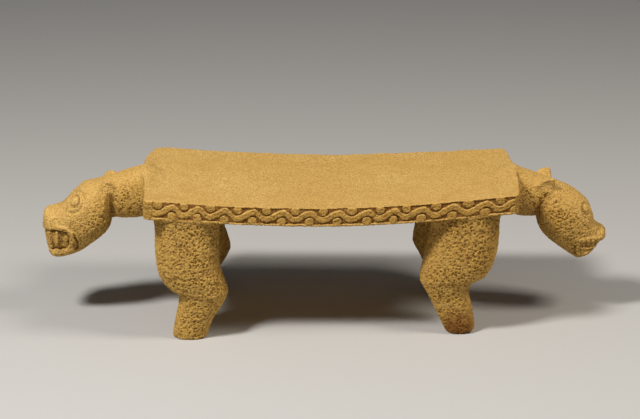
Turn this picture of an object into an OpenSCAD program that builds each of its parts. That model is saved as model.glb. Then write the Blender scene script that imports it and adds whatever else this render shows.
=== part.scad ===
// Carved stone metate (low grinding platform) with a feline head at each end and four bent legs.
// Units are millimetres. +X runs along the length, +Y to the back and +Z up.
// The origin is the middle of the footprint, on the surface that the four soles rest on.
// The object is one block of stone, and each node is one carved element of it.
// Neighbouring elements meet face to face, so the nodes together fill the block once.

/* [Slab] */
// Length of the slab along its long edges
slab_len = 390; // [380:1:400]
// Width of the slab at its left end
slab_left_w = 216; // [210:1:224]
// Width of the slab at its right end
slab_right_w = 188; // [182:1:200]
// Distance of the slab's middle from the middle of the whole length
slab_shift = 4; // [2:1:6]
// How far each long edge bows outward at its middle
side_bow = 6; // [2:0.5:10]
// How far each end bows outward at its middle
end_bow = 8; // [4:0.5:10]
// Height of the edge
edge_h = 19.5; // [17:0.5:22]
// Height of the top surface at its lowest, in the middle
top_mid_z = 147; // [145:0.5:149]
// Rise of the top surface from the middle to the ends
top_sag = 9.5; // [6:0.5:12]

/* [End rims] */
// Width of the raised rim along each end
rim_w = 8; // [6:0.5:10]
// Height of the rim's crest above the slab's end
rim_rise = 4; // [3:0.5:6]

/* [Friezes] */
// Depth of stone behind each carved band
frieze_depth = 6; // [4:0.5:8]
// Height of the relief above the band's ground
relief_h = 1.8; // [1:0.1:2.5]
// Height of the plain border above and below the band
border_h = 2.2; // [1.5:0.1:3]
// Number of waves along the band
wave_count = 13; // [10:1:14]
// Height of the wave from its middle line
wave_amp = 3.3; // [2.5:0.1:4]
// Thickness of the wave
wave_t = 4; // [3:0.1:5]
// Radius of the round bosses
boss_r = 3.2; // [2.4:0.1:3.8]
// Distance of the rows of bosses from the band's middle line
boss_offset = 5; // [4:0.1:5.6]

/* [Legs] */
// Distance of the left legs' middle plane from the length axis
left_leg_y = 80; // [76:1:82]
// Distance of the right legs' middle plane from the length axis
right_leg_y = 69; // [66:1:72]
// Height of the cut between haunch and shank on the left legs
left_hock_z = 48; // [44:1:52]
// Height of the cut between haunch and shank on the right legs
right_hock_z = 56; // [52:1:58]

/* [Heads] */
// Half width of the solid stone left in the middle of each mouth
mouth_core = 9; // [6:0.5:11]
// Radius of a fang at its root
fang_r = 3.4; // [2.5:0.1:4]
// Radius of an eye boss
eye_r = 6.5; // [5:0.5:8]
// Radius of the curve of an ear
ear_r = 8; // [6:0.5:9]
// Radius of the roll of stone that forms an ear
ear_t = 3.6; // [3:0.1:4.5]

/* [Hidden] */

slab_half = slab_len / 2;
mean_half_w = (slab_left_w + slab_right_w) / 4;
taper = (slab_left_w - slab_right_w) / 4;
frieze_half = slab_half - rim_w;
curve_steps = 20;
long_steps = 24;
ring_sides = 24;
section_power = 2.3;
sag_power = 1.6;
far = 400;
above_all = 220;
past_end = 30;
past_head = 40;
joint_slice = 0.5;

stone = [0.80, 0.66, 0.40];
stone_light = [0.84, 0.71, 0.46];
stone_dark = [0.70, 0.55, 0.32];

// Stations of a neck, a head or a leg, each [x, z of one side, x, z of the opposite side, half width].
// x counts outward from the slab's middle.
left_neck_stations = [
    [166, 140, 168, 130, 14],
    [182, 156, 183, 120, 24],
    [198, 161, 199, 111, 30],
    [214, 160, 215, 108.5, 27],
    [231, 155, 233, 109, 23.5]
];
right_neck_stations = [
    [166, 140, 168, 130, 14],
    [182, 156, 183, 120, 24],
    [198, 161, 199, 111, 29],
    [212, 158, 212, 108.5, 26],
    [225, 153, 224, 108, 23.5]
];
left_head_stations = [
    [231, 155, 233, 109, 23.5],
    [237, 153, 236, 101, 27],
    [248, 150, 241, 93, 29.5],
    [257, 147, 248, 86.5, 31],
    [267, 142.5, 258, 79, 31],
    [277, 135, 269, 71.5, 29],
    [287, 126, 280, 67, 26.5],
    [297, 120, 290, 64.5, 23.5],
    [305, 114.5, 297, 65.5, 20.5],
    [308, 106, 303, 74, 14]
];
right_head_stations = [
    [225, 153, 224, 108, 23.5],
    [232, 150.5, 226, 99, 27],
    [243, 146, 231, 90, 30],
    [253, 142, 238, 82.5, 31],
    [263, 137, 246, 76, 31],
    [272.5, 130, 255, 69.5, 29.5],
    [280.5, 121, 263, 64, 27],
    [285.5, 109, 270, 60.5, 24.5],
    [291, 98.5, 277, 60.5, 22.5],
    [297, 92, 285, 66, 19.5],
    [300, 85, 292, 73, 13]
];
left_haunch_stations = [
    [109, left_hock_z, 161.5, left_hock_z, 23],
    [110, 55, 171.5, 55, 25],
    [113, 65, 178.5, 65, 27],
    [117, 78, 182.5, 78, 28.5],
    [117.5, 98, 184, 98, 29],
    [117, 120, 184, 120, 29],
    [112, 142, 187, 142, 31]
];
left_shank_stations = [
    [132, 0, 167, 0, 17],
    [125, 19, 164, 19, 18],
    [113, 39, 160, 39, 20.5],
    [109, left_hock_z, 161.5, left_hock_z, 23]
];
right_haunch_stations = [
    [95.5, right_hock_z, 151, right_hock_z, 22.5],
    [95, 62, 163, 62, 25],
    [97, 74, 171, 74, 27],
    [100.5, 90, 175.5, 90, 28],
    [104, 106, 177, 106, 28],
    [106, 122, 177.5, 122, 28.5],
    [102, 142, 180, 142, 30.5]
];
right_shank_stations = [
    [124, 0, 150, 0, 14],
    [120.5, 7, 153, 7, 16.5],
    [111, 26, 150, 26, 17.5],
    [102, 44, 146, 44, 19.5],
    [95.5, right_hock_z, 151, right_hock_z, 22.5]
];

// Outlines seen from the side, again with x counting outward from the slab's middle.
left_mouth = [[314, 98], [281, 92], [279, 77], [314, 73]];
left_jaw_cut = [[314, 73], [279, 77], [272, 50], [314, 50]];
right_mouth = [[306, 83], [271, 81], [270, 72], [306, 69]];
right_jaw_cut = [[306, 69], [270, 72], [262, 50], [306, 50]];

// Stone between the jaws reaches outward to here, and the hollow is open beyond it.
left_core_end = 299;
right_core_end = 291;
behind_mouth = 200;

// Places of fangs, [x, y] of the outer pair and the inner pair. They run from below the mouth to above it.
left_fang_places = [[297, 12.5], [286, 18]];
right_fang_places = [[291, 11], [279, 17.5]];
fang_foot_z = 60;
fang_h = 50;
fang_taper = 0.8;

// Middles of an eye boss and of an ear's curve, [x, distance from the length axis, z].
// Each ear leans outward by its tilt.
left_eye_place = [272, 20, 126];
right_eye_place = [271, 20, 117];
left_ear_place = [240, 22, 143];
right_ear_place = [234, 22.5, 140];
ear_tilt = 38;
ear_start = 80;
ear_sweep = 190;
ear_steps = 10;
ear_sides = 8;

// Half width of the slab's outline at a distance x from its middle
function side_y(x) = mean_half_w - taper * x / slab_half + side_bow * (1 - pow(x / slab_half, 2));
// Height of the slab's top surface at a distance x from its middle
function top_z(x) = top_mid_z + top_sag * pow(abs(x) / slab_half, sag_power);
// Points of a curve from a to b along X, as x values
function spread(a, b, n = curve_steps) = [for (i = [0:n]) a + (b - a) * i / n];

// Catmull-Rom curve through a list of stations, with a number of steps between neighbours
function curve_point(p, q, r, s, t) =
    0.5 * (2 * q + (r - p) * t + (2 * p - 5 * q + 4 * r - s) * t * t + (3 * q - p - 3 * r + s) * t * t * t);
function smooth(stations, steps) =
    let (last = len(stations) - 1)
    concat(
        [for (i = [0:last - 1], k = [0:steps - 1])
            curve_point(stations[max(i - 1, 0)], stations[i], stations[i + 1], stations[min(i + 2, last)],
                k / steps)],
        [stations[last]]
    );

// Rounded section between two points in the XZ plane, with a half width along Y
function signed_power(v, p) = sign(v) * pow(abs(v), p);
function ring(station, y_mid) =
    let (a = [station[0], 0, station[1]])
    let (b = [station[2], 0, station[3]])
    [for (i = [0:ring_sides - 1])
        let (angle = 360 * i / ring_sides)
        (a + b) / 2 + (a - b) / 2 * signed_power(cos(angle), 2 / section_power)
            + [0, y_mid - station[4] * signed_power(sin(angle), 2 / section_power), 0]];

// Closed solid through a list of rings
module skin(rings) {
    n = len(rings[0]);
    last = len(rings) - 1;
    points = [for (r = rings) each r];
    sides = [for (j = [0:last - 1], i = [0:n - 1])
        let (k = (i + 1) % n)
        each [[j * n + i, (j + 1) * n + i, j * n + k], [j * n + k, (j + 1) * n + i, (j + 1) * n + k]]];
    first_cap = [for (i = [0:n - 1]) i];
    last_cap = [for (i = [n - 1:-1:0]) last * n + i];
    polyhedron(points, concat(sides, [first_cap, last_cap]));
}

// Loft through stations that run outward, or upward with the inner side first
module loft(stations, steps = 2, y_mid = 0) {
    skin([for (s = smooth(stations, steps)) ring(s, y_mid)]);
}

// Puts what counts outward from the slab's middle at the right or the left end
module right_side() {
    translate([slab_shift, 0, 0]) children();
}
module left_side() {
    translate([slab_shift, 0, 0]) mirror([1, 0, 0]) children();
}

// Extrudes an XZ outline along Y, from y0 to y1
module along_y(outline, y0 = -far, y1 = far) {
    translate([0, y1, 0]) rotate([90, 0, 0]) linear_extrude(height = y1 - y0) polygon(outline);
}

// Curve of an end, reach outward at distance y, for a half width and a reach at the corners
function end_curve(corner_y, corner_x, n = curve_steps) =
    [for (y = spread(-corner_y, corner_y, n)) [corner_x + end_bow * (1 - pow(y / corner_y, 2)), y]];

// Everything from the slab's underside up
module above_underside() {
    reach = slab_half + past_end;
    along_y(concat(
        [for (x = spread(-reach, reach, long_steps)) [x, top_z(x) - edge_h]],
        [[reach, above_all], [-reach, above_all]]
    ));
}

// Everything between the slab's underside and its top surface
module between_faces() {
    along_y(concat(
        [for (x = spread(-slab_half, slab_half, long_steps)) [x, top_z(x) - edge_h]],
        [for (x = spread(slab_half, -slab_half, long_steps)) [x, top_z(x)]]
    ));
}

// Plan outlines of the slab's core, of one frieze and of one rim
function core_y(x) = side_y(x) - frieze_depth;
function core_outline() = concat(
    [for (x = spread(-frieze_half, frieze_half)) [x, -core_y(x)]],
    end_curve(core_y(frieze_half), frieze_half),
    [for (x = spread(frieze_half, -frieze_half)) [x, core_y(x)]],
    [for (p = end_curve(core_y(-frieze_half), frieze_half)) [-p[0], -p[1]]]
);
function band_outline(inner, outer) = concat(
    [for (x = spread(-frieze_half, frieze_half)) [x, -side_y(x) - outer]],
    [for (x = spread(frieze_half, -frieze_half)) [x, -side_y(x) + inner]]
);
// side is 1 for the right end and -1 for the left end; x counts outward
function rim_outline(side) =
    let (inner_y = core_y(side * frieze_half))
    let (outer_y = side_y(side * slab_half))
    let (inner = end_curve(inner_y, frieze_half))
    concat(
        [[frieze_half, -side_y(side * frieze_half)]],
        end_curve(outer_y, slab_half),
        [[frieze_half, side_y(side * frieze_half)]],
        [for (i = [curve_steps:-1:0]) inner[i]]
    );

module slab() {
    color(stone_light) translate([slab_shift, 0, 0]) intersection() {
        linear_extrude(height = far) polygon(core_outline());
        between_faces();
    }
}

// Borders, running wave and bosses of a frieze, as prisms along Y
wave_len = 2 * frieze_half / wave_count;
function band_mid_z(x) = top_z(x) - edge_h / 2;
function wave_z(x) = band_mid_z(x) + wave_amp * sin(360 * x / wave_len);
module strip_in_front(xs, below, above) {
    last = len(xs) - 1;
    along_y(concat(
        [for (i = [0:last]) [xs[i], below[i]]],
        [for (i = [last:-1:0]) [xs[i], above[i]]]
    ), -far, 0);
}
module frieze_pattern() {
    xs = spread(-frieze_half, frieze_half, long_steps);
    fine = spread(-frieze_half, frieze_half, wave_count * 10);
    for (base = [0, border_h - edge_h]) {
        strip_in_front(xs, [for (x = xs) top_z(x) + base - border_h], [for (x = xs) top_z(x) + base]);
    }
    strip_in_front(fine, [for (x = fine) wave_z(x) - wave_t / 2], [for (x = fine) wave_z(x) + wave_t / 2]);
    for (i = [0:2 * wave_count - 1]) {
        x = -frieze_half + wave_len * (i + 0.5) / 2;
        up = i % 2 == 0 ? 1 : -1;
        translate([x, 0, band_mid_z(x) + up * boss_offset]) rotate([90, 0, 0])
            cylinder(r = boss_r, h = far, $fn = 20);
    }
}

module frieze() {
    translate([slab_shift, 0, 0]) {
        intersection() {
            linear_extrude(height = far) polygon(band_outline(frieze_depth, 0));
            between_faces();
        }
        intersection() {
            linear_extrude(height = far) polygon(band_outline(0, relief_h));
            frieze_pattern();
        }
    }
}

module front_frieze() {
    color(stone) frieze();
}
module back_frieze() {
    color(stone) mirror([0, 1, 0]) frieze();
}

// Raised rim along an end, highest in the middle
module rim(side) {
    half_y = side_y(side * frieze_half);
    end_z = top_z(slab_half);
    crest = [for (y = spread(-half_y, half_y)) [y, end_z + rim_rise * pow(cos(90 * y / half_y), 2)]];
    intersection() {
        linear_extrude(height = far) polygon(rim_outline(side));
        above_underside();
        rotate([90, 0, 90]) linear_extrude(height = far) polygon(concat([[half_y, 0], [-half_y, 0]], crest));
    }
}

module left_end_rim() {
    color(stone_light) left_side() rim(-1);
}
module right_end_rim() {
    color(stone_light) right_side() rim(1);
}

// Block over the outer half of slab and rim at one end, from the underside up
module end_block(side) {
    outer_y = side_y(side * slab_half);
    intersection() {
        linear_extrude(height = far) polygon(concat(
            [[slab_half / 2, -outer_y]],
            end_curve(outer_y, slab_half),
            [[slab_half / 2, outer_y]]
        ));
        above_underside();
    }
}

module neck(stations, side) {
    difference() {
        loft(stations);
        end_block(side);
    }
}

module left_neck() {
    color(stone) left_side() neck(left_neck_stations, -1);
}
module right_neck() {
    color(stone) right_side() neck(right_neck_stations, 1);
}

// Solid stone that stays between the jaws, behind the teeth
module mouth_hollow(outline, core_end) {
    difference() {
        along_y(outline, -past_head, past_head);
        translate([behind_mouth, -mouth_core, 0]) cube([core_end - behind_mouth, 2 * mouth_core, far]);
    }
}

module head(stations, mouth, jaw_cut, core_end) {
    difference() {
        loft(stations);
        mouth_hollow(mouth, core_end);
        along_y(jaw_cut, -past_head, past_head);
    }
}

module lower_jaw(stations, jaw_cut) {
    intersection() {
        loft(stations);
        along_y(jaw_cut, -past_head, past_head);
    }
}

module fangs(mouth, places) {
    intersection() {
        along_y(mouth, -past_head, past_head);
        for (p = places, side = [-1, 1]) {
            translate([p[0], side * p[1], fang_foot_z])
                cylinder(r1 = fang_r, r2 = fang_r * fang_taper, h = fang_h, $fn = 20);
        }
    }
}

module eyes(stations, place) {
    difference() {
        for (side = [-1, 1]) {
            translate([place[0], side * place[1], place[2]]) sphere(r = eye_r, $fn = 24);
        }
        loft(stations);
    }
}

// Ear: a roll of stone bent to a C that opens toward the snout
function ear_ring(angle) =
    [for (i = [0:ear_sides - 1])
        let (a = 360 * i / ear_sides)
        let (r = ear_r + ear_t * cos(a))
        [r * cos(angle), ear_t * sin(a), r * sin(angle)]];
// Thin slice of stone across the joint of neck and head
module nape_slice(head_stations) {
    reach = [joint_slice, 0, joint_slice, 0, 0];
    skin([ring(head_stations[0] - reach, 0), ring(head_stations[0] + reach, 0)]);
}
module ear(head_stations, neck_stations, place, side) {
    difference() {
        translate([place[0], side * place[1], place[2]]) rotate([side * ear_tilt, 0, 0])
            skin([for (k = [0:ear_steps]) ear_ring(ear_start + ear_sweep * k / ear_steps)]);
        nape_slice(head_stations);
        loft(head_stations);
        loft(neck_stations);
    }
}

module left_head() {
    color(stone) left_side() head(left_head_stations, left_mouth, left_jaw_cut, left_core_end);
}
module right_head() {
    color(stone) right_side() head(right_head_stations, right_mouth, right_jaw_cut, right_core_end);
}
module left_lower_jaw() {
    color(stone_dark) left_side() lower_jaw(left_head_stations, left_jaw_cut);
}
module right_lower_jaw() {
    color(stone_dark) right_side() lower_jaw(right_head_stations, right_jaw_cut);
}
module left_fangs() {
    color(stone_light) left_side() fangs(left_mouth, left_fang_places);
}
module right_fangs() {
    color(stone_light) right_side() fangs(right_mouth, right_fang_places);
}
module left_eyes() {
    color(stone_light) left_side() eyes(left_head_stations, left_eye_place);
}
module right_eyes() {
    color(stone_light) right_side() eyes(right_head_stations, right_eye_place);
}
module left_front_ear() {
    color(stone_light) left_side() ear(left_head_stations, left_neck_stations, left_ear_place, -1);
}
module left_back_ear() {
    color(stone_light) left_side() ear(left_head_stations, left_neck_stations, left_ear_place, 1);
}
module right_front_ear() {
    color(stone_light) right_side() ear(right_head_stations, right_neck_stations, right_ear_place, -1);
}
module right_back_ear() {
    color(stone_light) right_side() ear(right_head_stations, right_neck_stations, right_ear_place, 1);
}

// The haunch carries the slab's underside, and the shank is cut from it at the hock
module haunch(stations, y_mid) {
    difference() {
        loft(stations, 2, y_mid);
        above_underside();
    }
}
module shank(stations, y_mid) {
    loft(stations, 2, y_mid);
}

module front_left_haunch() {
    color(stone) left_side() haunch(left_haunch_stations, -left_leg_y);
}
module back_left_haunch() {
    color(stone) left_side() haunch(left_haunch_stations, left_leg_y);
}
module front_right_haunch() {
    color(stone) right_side() haunch(right_haunch_stations, -right_leg_y);
}
module back_right_haunch() {
    color(stone) right_side() haunch(right_haunch_stations, right_leg_y);
}
module front_left_shank() {
    color(stone_dark) left_side() shank(left_shank_stations, -left_leg_y);
}
module back_left_shank() {
    color(stone_dark) left_side() shank(left_shank_stations, left_leg_y);
}
module front_right_shank() {
    color(stone_dark) right_side() shank(right_shank_stations, -right_leg_y);
}
module back_right_shank() {
    color(stone_dark) right_side() shank(right_shank_stations, right_leg_y);
}

slab();
front_frieze();
back_frieze();
left_end_rim();
right_end_rim();
left_neck();
right_neck();
left_head();
right_head();
left_lower_jaw();
right_lower_jaw();
left_fangs();
right_fangs();
left_eyes();
right_eyes();
left_front_ear();
left_back_ear();
right_front_ear();
right_back_ear();
front_left_haunch();
front_left_shank();
back_left_haunch();
back_left_shank();
front_right_haunch();
front_right_shank();
back_right_haunch();
back_right_shank();
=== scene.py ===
import math
from itertools import product

import bpy
import numpy as np
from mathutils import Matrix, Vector
from mathutils.geometry import delaunay_2d_cdt


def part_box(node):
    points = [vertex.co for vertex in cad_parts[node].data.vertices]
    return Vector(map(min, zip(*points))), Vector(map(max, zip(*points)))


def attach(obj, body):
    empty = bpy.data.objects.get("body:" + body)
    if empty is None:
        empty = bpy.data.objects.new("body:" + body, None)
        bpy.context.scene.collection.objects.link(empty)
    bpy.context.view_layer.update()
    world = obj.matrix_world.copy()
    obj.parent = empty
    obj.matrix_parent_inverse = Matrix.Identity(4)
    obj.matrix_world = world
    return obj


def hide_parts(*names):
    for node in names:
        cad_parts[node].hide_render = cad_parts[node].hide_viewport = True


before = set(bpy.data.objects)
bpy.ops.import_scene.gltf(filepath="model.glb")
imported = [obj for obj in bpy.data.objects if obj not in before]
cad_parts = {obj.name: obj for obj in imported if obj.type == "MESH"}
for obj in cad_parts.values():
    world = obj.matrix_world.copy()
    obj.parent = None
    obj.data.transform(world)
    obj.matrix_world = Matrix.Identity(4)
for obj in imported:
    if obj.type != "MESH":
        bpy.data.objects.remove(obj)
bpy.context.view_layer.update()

# The stone is sculpted in millimetres, with x counted from the slab's middle, as in the CAD part.
# One distance field describes the whole block. Each piece is meshed from it and cut where the CAD nodes meet.
MM = 0.001
band_low, band_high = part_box("front_frieze")
SLAB_MID = (band_low.x + band_high.x) / 2 / MM
FRIEZE_HALF = (band_high.x - band_low.x) / 2 / MM
EDGE_H = 19.5
TOP_MID_Z = 147.0
TOP_SAG = 9.5
SAG_POWER = 1.6
RIM_W = 8.0
SLAB_HALF = FRIEZE_HALF + RIM_W
MEAN_HALF_W = 101.0
TAPER = 7.0
SIDE_BOW = 6.0
LEFT_BOW = (4.5, 5.0, -6.5, -7.0)
END_BOW = 5.0
FAR_CORNER = 1.5
RIM_RISE = 4.0
FRIEZE_DEPTH = 6.0
LEFT_LEG_Y = 80.0
RIGHT_LEG_Y = 69.0
TOP_EDGE_ROUND = 1.3
LOW_EDGE_ROUND = 1.4

# Grid spacing of the meshes
PITCH = 0.65
PITCH_BAND = 0.7
PITCH_SLAB = 1.3

# Stations of a neck with its head and of a leg, each [x, z of one side, x, z of the other side, half width].
# x counts outward from the slab's middle.
LEFT_ANIMAL = [
    [166, 140, 168, 130, 14],
    [182, 157, 183, 120, 24],
    [198, 163, 199, 111, 30],
    [214, 160.5, 215, 108.5, 27],
    [231, 155, 233, 109, 23.5],
    [237, 153, 236, 101, 27],
    [248, 150, 241, 93, 29.5],
    [257, 147, 248, 86.5, 31],
    [267, 142.5, 258, 79, 31],
    [277, 135, 269, 71.5, 29],
    [287, 126, 280, 67, 26.5],
    [297, 120.5, 290, 64.5, 24],
    [306, 116, 297.5, 65.5, 21.5],
    [309.5, 106, 304, 74, 15],
]
RIGHT_ANIMAL = [
    [166, 140, 168, 130, 14],
    [182, 156, 183, 120, 24],
    [198, 161, 199, 111, 29],
    [212, 158, 212, 108.5, 26],
    [225, 153, 224, 108, 23.5],
    [232, 150.5, 226, 99, 27],
    [243, 146, 231, 90, 30],
    [253, 142, 238, 82.5, 31],
    [263, 137, 246, 76, 31],
    [272.5, 130, 255, 69.5, 29.5],
    [280.5, 121, 263, 64, 27],
    [285.5, 109, 270, 60.5, 24.5],
    [291, 98.5, 276.5, 62.5, 22.5],
    [297, 92, 283, 69.5, 19.5],
    [300, 85, 291, 75.5, 13],
]
LEFT_LEG = [
    [132, 0, 167, 0, 17],
    [125, 19, 164, 19, 18],
    [113, 39, 160, 39, 20.5],
    [109, 48, 161.5, 48, 23],
    [110, 55, 171.5, 55, 25],
    [113, 65, 178.5, 65, 27],
    [117, 78, 182.5, 78, 28.5],
    [117.5, 98, 184, 98, 29],
    [117, 120, 184, 120, 29],
    [112, 142, 187, 142, 31],
]
RIGHT_LEG = [
    [124, 0, 150, 0, 14],
    [120.5, 7, 153, 7, 16.5],
    [111, 26, 150, 26, 17.5],
    [102, 44, 146, 44, 19.5],
    [95.5, 56, 151, 56, 22.5],
    [95, 62, 163, 62, 25],
    [97, 74, 171, 74, 27],
    [100.5, 90, 175.5, 90, 28],
    [104, 106, 177, 106, 28],
    [106, 122, 177.5, 122, 28.5],
    [102, 142, 180, 142, 30.5],
]
LEFT_HOCK_Z = 48.0
RIGHT_HOCK_Z = 56.0


# ---- distance fields


def blend_min(a, b, reach):
    """Union of two fields with a fillet that reaches that far."""
    h = np.clip(0.5 + 0.5 * (b - a) / reach, 0, 1)
    return b + (a - b) * h - reach * h * (1 - h)


def round_max(a, b, radius):
    """Intersection of two fields with a rounded edge."""
    u = np.maximum(a + radius, 0)
    v = np.maximum(b + radius, 0)
    return np.minimum(-radius, np.maximum(a, b)) + np.sqrt(u * u + v * v)


def ramp(value, start, end):
    """Smooth step from 0 at start to 1 at end."""
    t = np.clip((value - start) / (end - start), 0, 1)
    return t * t * (3 - 2 * t)


def segment_distance(x, z, a, b):
    """Distance in the XZ plane to the segment from a to b."""
    ax, az = a
    bx, bz = b
    span = (bx - ax) ** 2 + (bz - az) ** 2
    t = np.clip(((x - ax) * (bx - ax) + (z - az) * (bz - az)) / span, 0, 1)
    return np.hypot(x - ax - t * (bx - ax), z - az - t * (bz - az))


def path_distance(x, z, points):
    """Distance in the XZ plane to an open line of points."""
    best = segment_distance(x, z, points[0], points[1])
    for a, b in zip(points[1:-1], points[2:]):
        best = np.minimum(best, segment_distance(x, z, a, b))
    return best


def polygon_distance(x, z, points):
    """Signed distance in the XZ plane to a closed convex outline, negative inside."""
    best = path_distance(x, z, points + points[:1])
    centre = np.mean(points, axis=0)
    inside = np.ones(np.shape(best), bool)
    for a, b in zip(points, points[1:] + points[:1]):
        edge = (b[0] - a[0], b[1] - a[1])
        side = edge[0] * (z - a[1]) - edge[1] * (x - a[0])
        middle = edge[0] * (centre[1] - a[1]) - edge[1] * (centre[0] - a[0])
        inside &= side * middle > 0
    return np.where(inside, -best, best)


def mound(distance, width):
    """Soft bump of height 1 at distance 0 that ends at the width."""
    return 1 - ramp(distance, 0, width)


def ridge(x, z, points, width):
    """Soft ridge of height 1 along an open line of points in the XZ plane."""
    return mound(path_distance(x, z, points), width)


def side_y(x):
    """Half width of the platform."""
    return MEAN_HALF_W - TAPER * x / SLAB_HALF + SIDE_BOW * (1 - (x / SLAB_HALF) ** 2)


def top_z(x):
    """Height of the saddle top along the platform's edge."""
    return TOP_MID_Z + TOP_SAG * (np.abs(x) / SLAB_HALF) ** SAG_POWER


def bow(x, y, reach):
    """How far the end's curve stands out at distance y from the axis, for the end that x is at."""
    half = np.where(x < 0, side_y(-reach), side_y(reach))
    t = np.clip(y / half, -1, 1)
    a, b, c, d = LEFT_BOW
    left = a + b * t + c * t ** 2 + d * t ** 3
    right = END_BOW * (1 - t ** 2) + FAR_CORNER * ramp(t, 0.3, 1)
    return np.where(x < 0, left, right)


def underside(x, z):
    """Height above the slab's underside."""
    return z - (top_z(x) - EDGE_H)


MAP_MARGIN = 24
LOFT_STEPS = 6
LOFT_POWER = 2.3


class Loft:
    """Stone swept through stations, with superellipse sections across the XZ plane."""

    def __init__(self, stations, end_radius, y_mid=0.0):
        self.y_mid = y_mid
        self.end_radius = end_radius
        s = np.array(stations, float)
        padded = np.vstack([s[:1], s, s[-1:]])
        rows = []
        for i in range(len(s) - 1):
            p, q, r, t = padded[i:i + 4]
            for k in np.arange(LOFT_STEPS) / LOFT_STEPS:
                rows.append(0.5 * (2 * q + (r - p) * k + (2 * p - 5 * q + 4 * r - t) * k * k
                                   + (3 * q - p - 3 * r + t) * k ** 3))
        rows = np.array(rows + [s[-1]])
        a = rows[:, 0:2]
        b = rows[:, 2:4]
        middle = (a + b) / 2
        self.half = np.hypot(*(a - b).T) / 2
        self.up = (a - b) / 2 / self.half[:, None]
        self.middle = middle
        self.width = rows[:, 4]
        along = np.gradient(middle, axis=0)
        across = np.stack([-self.up[:, 1], self.up[:, 0]], 1)
        facing = np.sign((across * along).sum(1))
        self.ahead = across * facing[:, None]
        self.low = np.floor(np.vstack([a, b]).min(0)) - MAP_MARGIN
        high = np.ceil(np.vstack([a, b]).max(0)) + MAP_MARGIN
        xs, zs = (np.arange(lo, hi + 1) for lo, hi in zip(self.low, high))
        self.map = self.place_along(xs[:, None], zs[None, :])

    def place_along(self, x, z):
        """Station number, with its fraction, of the section that passes through a point."""
        x, z = np.broadcast_arrays(x, z)
        ahead = ((x[..., None] - self.middle[:, 0]) * self.ahead[:, 0]
                 + (z[..., None] - self.middle[:, 1]) * self.ahead[:, 1])
        j = np.clip((ahead > 0).sum(-1) - 1, 0, len(self.half) - 2)
        near = np.take_along_axis(ahead, j[..., None], -1)[..., 0]
        far = np.take_along_axis(ahead, j[..., None] + 1, -1)[..., 0]
        gap = np.where(np.abs(near - far) < 1e-6, 1e-6, near - far)
        return j + np.clip(near / gap, 0, 1)

    def section(self, x, z):
        """Height from the middle of a point's section, its half height and half width, and the ends."""
        u = np.clip(x - self.low[0], 0, self.map.shape[0] - 1.001)
        v = np.clip(z - self.low[1], 0, self.map.shape[1] - 1.001)
        i, k = u.astype(int), v.astype(int)
        u, v = u - i, v - k
        place = ((self.map[i, k] * (1 - u) + self.map[i + 1, k] * u) * (1 - v)
                 + (self.map[i, k + 1] * (1 - u) + self.map[i + 1, k + 1] * u) * v)
        j = np.minimum(place.astype(int), len(self.half) - 2)
        t = place - j

        def mix(values):
            return values[j] + (values[j + 1] - values[j]) * t

        height = ((x - mix(self.middle[:, 0])) * mix(self.up[:, 0])
                  + (z - mix(self.middle[:, 1])) * mix(self.up[:, 1]))
        before = -((x - self.middle[0, 0]) * self.ahead[0, 0] + (z - self.middle[0, 1]) * self.ahead[0, 1])
        beyond = (x - self.middle[-1, 0]) * self.ahead[-1, 0] + (z - self.middle[-1, 1]) * self.ahead[-1, 1]
        return height, mix(self.half), mix(self.width), before, beyond

    def field(self, x, y, z):
        height, half, width, before, beyond = self.section(x, z)
        across = y - self.y_mid
        q = np.abs(height / half) ** LOFT_POWER + np.abs(across / width) ** LOFT_POWER
        q = q ** (1 / LOFT_POWER)
        rho = np.sqrt(height ** 2 + across ** 2 + 1e-4)
        d = np.maximum(rho - rho / np.maximum(q, 1e-3), -30)
        return round_max(d, np.maximum(before, beyond), self.end_radius)


ROWS = (("front", -1), ("back", 1))
LEGS = {"left": (LEFT_LEG, LEFT_HOCK_Z, LEFT_LEG_Y), "right": (RIGHT_LEG, RIGHT_HOCK_Z, RIGHT_LEG_Y)}
lofts = {"left": Loft(LEFT_ANIMAL, end_radius=6.0), "right": Loft(RIGHT_ANIMAL, end_radius=8.0)}
for end, (stations, _, leg_y) in LEGS.items():
    for row, y_sign in ROWS:
        lofts[f"{row}_{end}"] = Loft(stations, end_radius=3.0, y_mid=y_sign * leg_y)

# ---- seeded noise


CORNERS = list(product((0, 1), repeat=3))
NEIGHBOURS = list(product((-1, 0, 1), repeat=3))


def noise_table(seed):
    return np.random.default_rng(seed).random((32, 32, 32)).astype(np.float32)


def value_noise(table, x, y, z, size):
    """Smooth noise from -1 to 1, with cells of that size."""
    p = [np.asarray(c, float) / size + 100 for c in (x, y, z)]
    low = [np.floor(c).astype(np.int32) for c in p]
    f = [c - i for c, i in zip(p, low)]
    f = [c * c * (3 - 2 * c) for c in f]
    i0 = [i & 31 for i in low]
    i1 = [(i + 1) & 31 for i in low]
    total = 0
    for cx, cy, cz in CORNERS:
        weight = (f[0] if cx else 1 - f[0]) * (f[1] if cy else 1 - f[1]) * (f[2] if cz else 1 - f[2])
        total = total + weight * table[(i1 if cx else i0)[0], (i1 if cy else i0)[1], (i1 if cz else i0)[2]]
    return 2 * total - 1


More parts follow.
